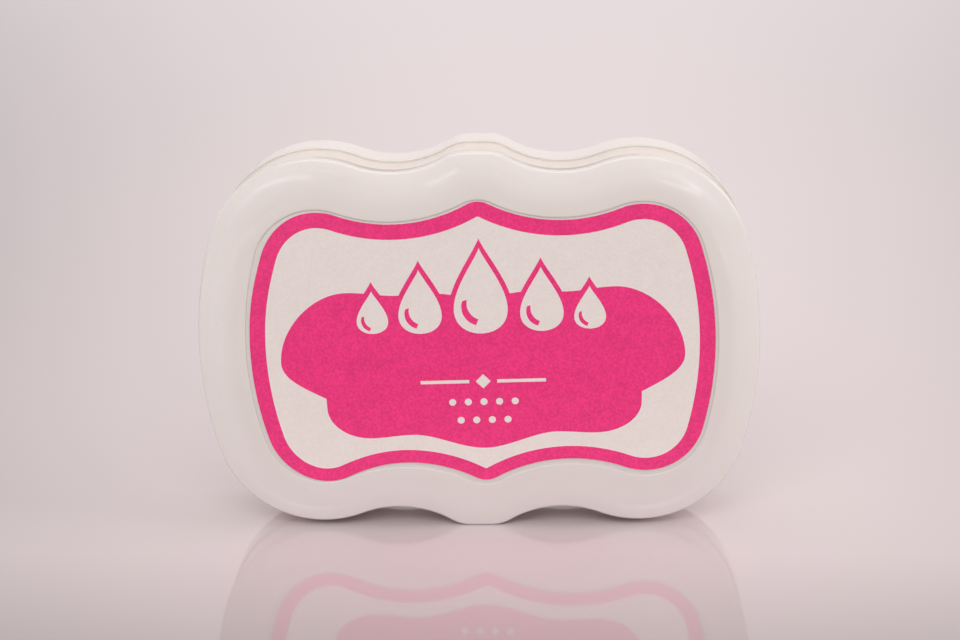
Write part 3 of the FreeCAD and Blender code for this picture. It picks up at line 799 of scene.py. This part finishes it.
def make_pad():
    """The pad: an ink-soaked foam core inside a woven cover with a hem underneath."""
    foam_inset, foam_top = PAD_INSET + 0.55, PAD_TOP - 0.55
    foam_profile = rounded([(PAD_INSET + 3, PLATE_TOP, 0), (foam_inset, PLATE_TOP, 0.4),
                            (foam_inset, foam_top, 1.5), (PAD_INSET + 3, foam_top, 0)])
    foam = sweep("ink_foam", foam_profile, materials=[open_foam()])
    keep(foam, "base", "foam", "pad_foam")

    cover_profile = rounded([(PAD_INSET + 6, HEM_DEPTH, 0), (PAD_INSET, HEM_DEPTH, 0.5),
                             (PAD_INSET, PAD_TOP, 2.0), (PAD_INSET + 2.6, PAD_TOP, 0)])
    rings = [place(outline(inset), depth) for inset, depth in cover_profile]
    faces = ring_faces(len(rings), len(rings[0]))
    flat, top = fill([outline(cover_profile[-1][0])], COVER_SPACING)
    start = len(rings) * len(rings[0])
    faces += [tuple(start + i for i in face) for face in top]
    vertices = np.concatenate(rings + [place(flat, PAD_TOP)])
    cover = new_object("ink_cloth", vertices, faces, materials=[inked_cloth()])
    welded = bmesh.new()
    welded.from_mesh(cover.data)
    bmesh.ops.remove_doubles(welded, verts=welded.verts, dist=2e-5)
    bmesh.ops.recalc_face_normals(welded, faces=welded.faces)
    welded.to_mesh(cover.data)
    welded.free()
    stretch_over_pad(cover)
    thickness = cover.modifiers.new("thickness", "SOLIDIFY")
    thickness.thickness = CLOTH * MM
    thickness.offset = -1
    keep(cover, "base", "ink_cloth", "pad_cloth")


def pull(points, centre, reach, move):
    """Drags the points near a centre along, less and less with their distance from it."""
    near = np.exp(-((points - centre) ** 2).sum(1) / reach**2)
    return points + near[:, None] * move


def settle_label(points):
    """The sheet isn't quite even: its lower left lobe is long, and its upper left corner is cut in."""
    points = pull(points, (-27, -25), 9, (0.2, -0.75))
    points = pull(points, (-37, 18), 8, (0.45, -0.15))
    return seated(points, LABEL_SHIFT)


def make_labels():
    """The printed front label, and the plain one on the underside."""
    white = printed_paper("label_white", linear(238, 232, 227), 0.02, 0.34)
    pink = printed_paper("label_pink", linear(245, 50, 131), 0.08, 0.32)
    field = outline(LABEL_INSET + LABEL_BORDER, 0.6)
    field[:, 1] *= np.where(field[:, 1] < 0, LOWER_FIELD, 1)
    drops = [(0, 1.7, 15.2, 9.2), (-10.4, 1.9, 11.4, 7.4), (10.4, 1.9, 11.4, 7.4),
             (-18.6, 2.1, 7.6, 5.4), (18.6, 2.1, 7.6, 5.4)]
    layers = [(outline(LABEL_INSET, LABEL_APEX), 1), (field, 0), (banner(), 1)]
    layers += [(drop(x, foot - 0.9, height + 2.6, width + 1.8), 1) for x, foot, height, width in drops]
    layers += [(drop(*shape), 0) for shape in drops]
    layers += [(glint(*shape), 1) for shape in drops]
    layers += [(bar((side * 6.6, DIVIDER_UP), 4.2, 0.3), 0) for side in (-1, 1)]
    layers.append((regular((0, DIVIDER_UP), 1.3, 4), 0))
    for row, dots in ((-10.6, 5), (-13.9, 4)):
        for k in range(dots):
            layers.append((regular((2.7 * (k - (dots - 1) / 2), row), 0.62, 20), 0))
    floor = CASE_DEPTH - RECESS_DEPTH + GLUE
    front = sheet("front_label", layers, (floor + LABEL_THICKNESS, floor), [white, pink], settle_label)
    keep(front, "lid", "front_label", "lid_label")

    plain = [(outline(LABEL_INSET, LABEL_APEX), 1), (outline(LABEL_INSET + 1.2, 2.6), 0),
             (bar((0, 0), 15, 7), 1), (bar((0, 0), 14.2, 6.2), 0), (bar((0, 0), 13.2, 5.2), 1)]
    floor = BACK_RECESS_DEPTH - GLUE
    back = sheet("underside_label", plain, (floor - LABEL_THICKNESS, floor), [white, pink], spacing=3.0)
    keep(back, "base", "back_label", "base_label")


def dress_nodes(plate_plastic):
    """The backing plate and the tape keep their CAD shapes, with small bevels and their own finishes."""
    kept = {"pad_backing_plate": (plate_plastic, 0.25), "pad_adhesive_tape": (adhesive_tape(), 0.05)}
    for node, (material, width) in kept.items():
        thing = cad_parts[node]
        thing.data.materials.clear()
        thing.data.materials.append(material)
        bevel = thing.modifiers.new("soft_edges", "BEVEL")
        bevel.width = width * MM
        bevel.segments = 2
        bevel.angle_limit = math.radians(50)


# ---------------------------------------------------------------- stage

TABLE_COLOUR = (0.87, 0.777, 0.794)
TABLE_REACH = 8.0
TABLE_DROP = 0.02

# painted light on the table: its brightest spot in the picture, as shares of its width and height, how fast
# the painted shade darkens away from it, and the painted shade at the sides and along the front
BRIGHT_SPOT = (0.57, 0.74)
FALLOFF = (2.0, 0.76)
DARKEST = 0.3
SIDES_DARKEN = (0.55, 0.12)
FRONT_BAND = (-0.4, 0.135)
FRONT_DARKENS = 0.96

# brightness of the surround in front and behind, then colours by height (0 level, 1 straight up)
FRONT_AND_BACK = (0.72, 1.04)
SURROUND = [
    (0.0, (0.90, 0.82, 0.84)),
    (0.1, (0.98, 0.90, 0.915)),
    (0.36, (1.12, 1.03, 1.03)),
    (0.8, (0.47, 0.45, 0.445)),
]

# name, place, aim, size in metres, watts, colour
LIGHTS = [
    ("overhead", (0.02, 0.10, 0.72), (0, 0, 0.03), (0.36, 0.2), 0.22, (1, 0.96, 0.93)),
    ("right", (0.6, -0.1, 0.35), (0, 0, 0.03), (0.3, 0.4), 0.8, (1, 0.95, 0.93)),
    ("front", (-0.03, -0.5, 0.42), (0, 0, 0.04), (0.5, 0.3), 1.6, (1, 0.95, 0.94)),
    ("left_box", (-0.25, -0.97, 0.13), (0, 0, 0.055), (0.22, 0.035), 0.09, (1, 0.97, 0.95)),
    ("right_box", (0.25, -0.97, 0.13), (0, 0, 0.055), (0.22, 0.035), 0.11, (1, 0.97, 0.95)),
]

# camera: directions and small turns in degrees, distances and lens in millimetres
CAMERA_AZIMUTH = 2.0
CAMERA_ELEVATION = 15.432
CAMERA_TURNS = ((-0.047, "Y"), (0.542, "X"), (-0.895, "Z"))
CAMERA_DISTANCE = 371.38
AIM_DEPTH = 7.6
FOCUS_DEPTH = 8.5
SENSOR_WIDTH = 36
LENS = 80.08
F_STOP = 16


def area_light(name, at, towards, size, power, colour):
    data = bpy.data.lights.new(name, "AREA")
    data.shape = "RECTANGLE"
    data.size, data.size_y = size
    data.energy = power
    data.color = colour
    light = bpy.data.objects.new(name, data)
    light.location = at
    light.rotation_euler = (Vector(towards) - Vector(at)).to_track_quat("-Z", "Y").to_euler()
    bpy.context.scene.collection.objects.link(light)


def make_table():
    """A glossy pale table with a painted pool of light, whose colour darkens softly towards the edges of
    the picture.
    """
    f = Finish("table")
    window = f.node("ShaderNodeSeparateXYZ", {0: f.node("ShaderNodeTexCoord").outputs["Window"]})
    across = f.times(f.sum(window.outputs["X"], -BRIGHT_SPOT[0]), FALLOFF[0])
    up = f.times(f.sum(window.outputs["Y"], -BRIGHT_SPOT[1]), FALLOFF[1])
    sideways = f.sum(f.times(window.outputs["Y"], SIDES_DARKEN[0]), SIDES_DARKEN[1])
    far = f.sum(f.times(f.times(across, across), sideways), f.times(up, up))
    far = f.sum(far, f.span(window.outputs["Y"], *FRONT_BAND, FRONT_DARKENS, 0.0))
    colour = f.mix(far, (*TABLE_COLOUR, 1), (*(c * DARKEST for c in TABLE_COLOUR), 1))
    table = f.done(Base_Color=colour, Roughness=0.045, IOR=1.47)
    mesh = bpy.data.meshes.new("table")
    corners = [(TABLE_REACH * x, TABLE_REACH * y, 0) for x, y in ((-1, -1), (1, -1), (1, 1), (-1, 1))]
    mesh.from_pydata(corners, [], [(0, 1, 2, 3)])
    mesh.materials.append(table)
    floor = bpy.data.objects.new("table", mesh)
    floor.location.z = -TABLE_DROP * MM
    bpy.context.scene.collection.objects.link(floor)


def make_surround():
    """A pale tent of light: brightest a little above the horizon, dark overhead, and dimmer in front."""
    world = bpy.data.worlds.new("surround")
    world.use_nodes = True
    tree = world.node_tree
    where = tree.nodes.new("ShaderNodeTexCoord")
    parts = tree.nodes.new("ShaderNodeSeparateXYZ")
    ramp = tree.nodes.new("ShaderNodeValToRGB")
    side = tree.nodes.new("ShaderNodeMapRange")
    tree.links.new(where.outputs["Generated"], parts.inputs[0])
    tree.links.new(parts.outputs["Z"], ramp.inputs[0])
    tree.links.new(parts.outputs["Y"], side.inputs["Value"])
    tree.links.new(side.outputs[0], tree.nodes["Background"].inputs["Strength"])
    tree.links.new(ramp.outputs[0], tree.nodes["Background"].inputs["Color"])
    front, back = FRONT_AND_BACK
    for key, value in (("From Min", -1), ("From Max", 1), ("To Min", front), ("To Max", back)):
        side.inputs[key].default_value = value
    for position, _ in SURROUND[2:]:
        ramp.color_ramp.elements.new(position)
    for element, (position, colour) in zip(ramp.color_ramp.elements, SURROUND):
        element.position = position
        element.color = (*colour, 1)
    bpy.context.scene.world = world


def make_stage():
    make_table()
    make_surround()
    for light in LIGHTS:
        area_light(*light)


def make_camera():
    """The camera stands a little right of straight on and looks down at the label."""
    azimuth, elevation = math.radians(CAMERA_AZIMUTH), math.radians(CAMERA_ELEVATION)
    aim = Vector((0, -AIM_DEPTH * MM, CENTRE_Z))
    back = Vector((math.sin(azimuth) * math.cos(elevation), -math.cos(azimuth) * math.cos(elevation),
                   math.sin(elevation)))
    right = (-back).cross(Vector((0, 0, 1))).normalized()
    up = back.cross(right)
    basis = Matrix((right, up, back)).transposed()
    for angle, axis in CAMERA_TURNS:
        basis = basis @ Matrix.Rotation(math.radians(angle), 3, axis)
    data = bpy.data.cameras.new("camera")
    data.sensor_width = SENSOR_WIDTH
    data.lens = LENS
    data.clip_start = 0.01
    focus = bpy.data.objects.new("focus", None)
    focus.location = (0, -FOCUS_DEPTH * MM, CENTRE_Z)
    bpy.context.scene.collection.objects.link(focus)
    data.dof.use_dof = True
    data.dof.focus_object = focus
    data.dof.aperture_fstop = F_STOP
    camera = bpy.data.objects.new("camera", data)
    camera.matrix_world = Matrix.Translation(aim + back * CAMERA_DISTANCE * MM) @ basis.to_4x4()
    bpy.context.scene.collection.objects.link(camera)
    bpy.context.scene.camera = camera


case_plastic = moulded_plastic("case_plastic", linear(236, 232, 227), linear(232, 228, 222), 0.25, 0.42)
inner_plastic = moulded_plastic("inner_plastic", linear(236, 230, 227), linear(231, 224, 221), 0.34, 0.1)
make_lid(case_plastic)
make_base(case_plastic)
make_bezel(inner_plastic)
make_pad()
make_labels()
dress_nodes(inner_plastic)
make_stage()
make_camera()
bpy.context.scene.view_settings.view_transform = "Standard"

bpy.context.view_layer.update()
